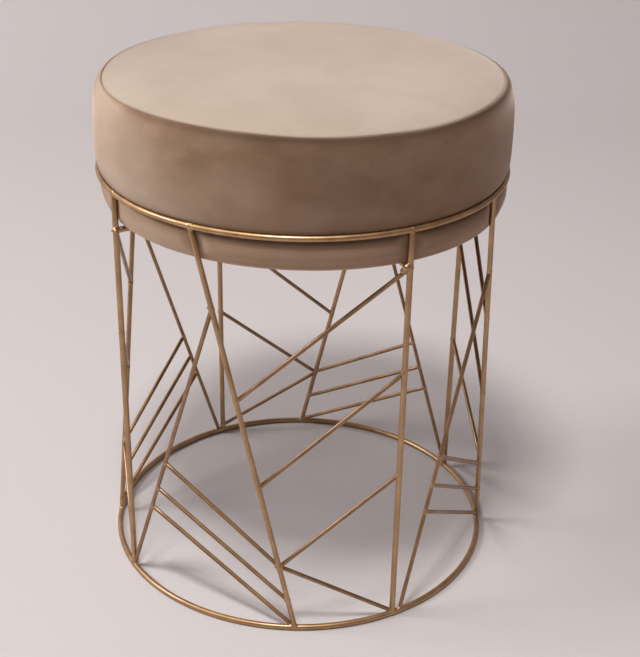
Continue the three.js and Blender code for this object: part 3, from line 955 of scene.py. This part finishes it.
# Staples: zinc-plated wire staples round the lining's edge. They are shot up through the lining
# and the velvet's hem into the board, so that only their crowns show.

STAPLES = 24
STAPLE_CROWN, STAPLE_WIRE = 0.010, 0.0007
STAPLE_EDGE = 0.3  # how far it is rounded, as a share of the wire's thickness
STAPLE_INSET = 0.004  # from the lining's edge


def zinc_finish():
    zinc = Finish("zinc_plate", Metallic=1.0)
    bloom = zinc.noise(zinc.place(), 700, 3)
    return zinc.wear(
        Base_Color=zinc.mixed(bloom, shade(166, 168, 170), shade(196, 198, 200)),
        Roughness=0.3 + 0.15 * bloom,
    )


ZINC = zinc_finish()
under_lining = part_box("dust_cover")[0][2]
start_clean()
crown_height = under_lining - STAPLE_WIRE / 2
bpy.ops.mesh.primitive_cube_add(
    size=1, location=(lining_radius - STAPLE_INSET, 0, crown_height),
)
staple = bpy.context.object
staple.scale = (STAPLE_WIRE, STAPLE_CROWN, STAPLE_WIRE)
staple = named("staples")
pick(staple, "EDGE", lambda edge: all(
    staple.data.vertices[i].co.z < crown_height for i in edge.vertices))
bpy.ops.mesh.bevel(offset=STAPLE_WIRE * STAPLE_EDGE, segments=2, affect="EDGES")
bpy.ops.object.mode_set(mode="OBJECT")
copies = [staple]
for i in range(1, STAPLES):
    copy = staple.copy()
    copy.data = staple.data.copy()
    copy.data.transform(Matrix.Rotation(2 * math.pi * i / STAPLES, 4, "Z"))
    bpy.context.collection.objects.link(copy)
    copies.append(copy)
start_clean()
for copy in copies:
    copy.select_set(True)
bpy.context.view_layer.objects.active = staple
bpy.ops.object.join()
finished(staple, ZINC, "zinc_screw")


# Screws: four zinc-plated pan-head screws up through the tabs into the board. They hold the
# seat on its cross, and are tight against the tabs.

for k in SECTORS:
    dressed(f"seat_screw_{k + 1}", bevel=0.00025, material=ZINC, slot="zinc_screw")


# Floor: plain pale paper that sweeps up on all four sides. It isn't part of the stool, which
# stands on it by its bottom ring.

PAPER_WIDTH, PAPER_FRONT, PAPER_BACK = 9.0, -6.0, 1.9
PAPER_HEIGHT, PAPER_SWEEP = 3.5, 0.7

start_clean()
bpy.ops.mesh.primitive_plane_add(size=1, location=(0, 0, 0))
stage = named("floor")
bpy.ops.object.mode_set(mode="EDIT")
bpy.ops.mesh.select_all(action="SELECT")
bpy.ops.transform.resize(value=(PAPER_WIDTH, PAPER_BACK - PAPER_FRONT, 1))
bpy.ops.transform.translate(value=(0, (PAPER_BACK + PAPER_FRONT) / 2, 0))
pick(stage, "EDGE", lambda edge: True)
bpy.ops.mesh.extrude_region_move(TRANSFORM_OT_translate={"value": (0, 0, PAPER_HEIGHT)})
bpy.ops.mesh.select_all(action="SELECT")
bpy.ops.mesh.normals_make_consistent(inside=True)
pick(stage, "EDGE", lambda edge: any(
    stage.data.vertices[i].co.z < PAPER_SWEEP for i in edge.vertices))
bpy.ops.mesh.bevel(offset=PAPER_SWEEP, segments=20, affect="EDGES")
bpy.ops.object.mode_set(mode="OBJECT")
bpy.ops.object.shade_smooth_by_angle(angle=math.radians(40))
paper = Finish("pale_paper", Roughness=0.75)
marks = paper.noise(paper.place(), 0.8, 2)
stage.data.materials.append(paper.wear(
    Base_Color=paper.mixed(marks, shade(206, 200, 200), shade(212, 207, 207))))
stage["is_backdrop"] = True


# Light: a soft lamp overhead, a little to the front, and a large soft one on the left. Dim warm
# light from all sides fills the shadows.

LIT_POINT = Vector((0, 0, 0.25))  # both lamps face it


def lamp(name, place, size, power, colour):
    light = bpy.data.lights.new(name, "AREA")
    light.shape = "RECTANGLE"
    light.size, light.size_y = size
    light.energy = power
    light.color = colour
    holder = bpy.data.objects.new(name, light)
    holder.location = place
    holder.rotation_euler = (LIT_POINT - Vector(place)).to_track_quat("-Z", "Y").to_euler()
    bpy.context.collection.objects.link(holder)


lamp("window", (-3.9, -0.1, 3.0), (1.3, 1.3), 106, (1.0, 0.985, 0.975))
lamp("ceiling", (-0.25, -0.75, 2.5), (0.45, 0.45), 37, (1.0, 0.985, 0.965))
world = bpy.data.worlds.new("room")
world.use_nodes = True
background = world.node_tree.nodes["Background"]
background.inputs["Color"].default_value = (0.98, 0.80, 0.66, 1)
background.inputs["Strength"].default_value = 0.2
bpy.context.scene.world = world
bpy.context.scene.view_settings.view_transform = "Standard"


# Camera: it stands in front of the stool, above the seat, and looks down at it. Its place and
# lens give the photograph's view, tilted a little to one side as the photograph is.

CAMERA_PLACE = (0, -1.0610, 0.7444)
PITCH, YAW, ROLL = math.radians(27.04), math.radians(0.92), math.radians(1.13)
LONG_SIDE, SENSOR, FOCUS = 657, 36, 1313  # pixels, mm, pixels

ahead = Vector((
    math.sin(YAW) * math.cos(PITCH), math.cos(YAW) * math.cos(PITCH), -math.sin(PITCH)))
level = Vector((math.cos(YAW), -math.sin(YAW), 0))
above = level.cross(ahead)
right = level * math.cos(ROLL) + above * math.sin(ROLL)
up = above * math.cos(ROLL) - level * math.sin(ROLL)
view = bpy.data.cameras.new("camera")
view.sensor_width = SENSOR
view.lens = FOCUS / LONG_SIDE * SENSOR
camera = bpy.data.objects.new("camera", view)
turned_to = Matrix((right, up, -ahead)).transposed().to_4x4()
camera.matrix_world = Matrix.Translation(CAMERA_PLACE) @ turned_to
bpy.context.collection.objects.link(camera)
bpy.context.scene.camera = camera

start_clean()
boxes = {"cad": cad_box, "visual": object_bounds()}
{name: [list(corner) for corner in box] for name, box in boxes.items()}
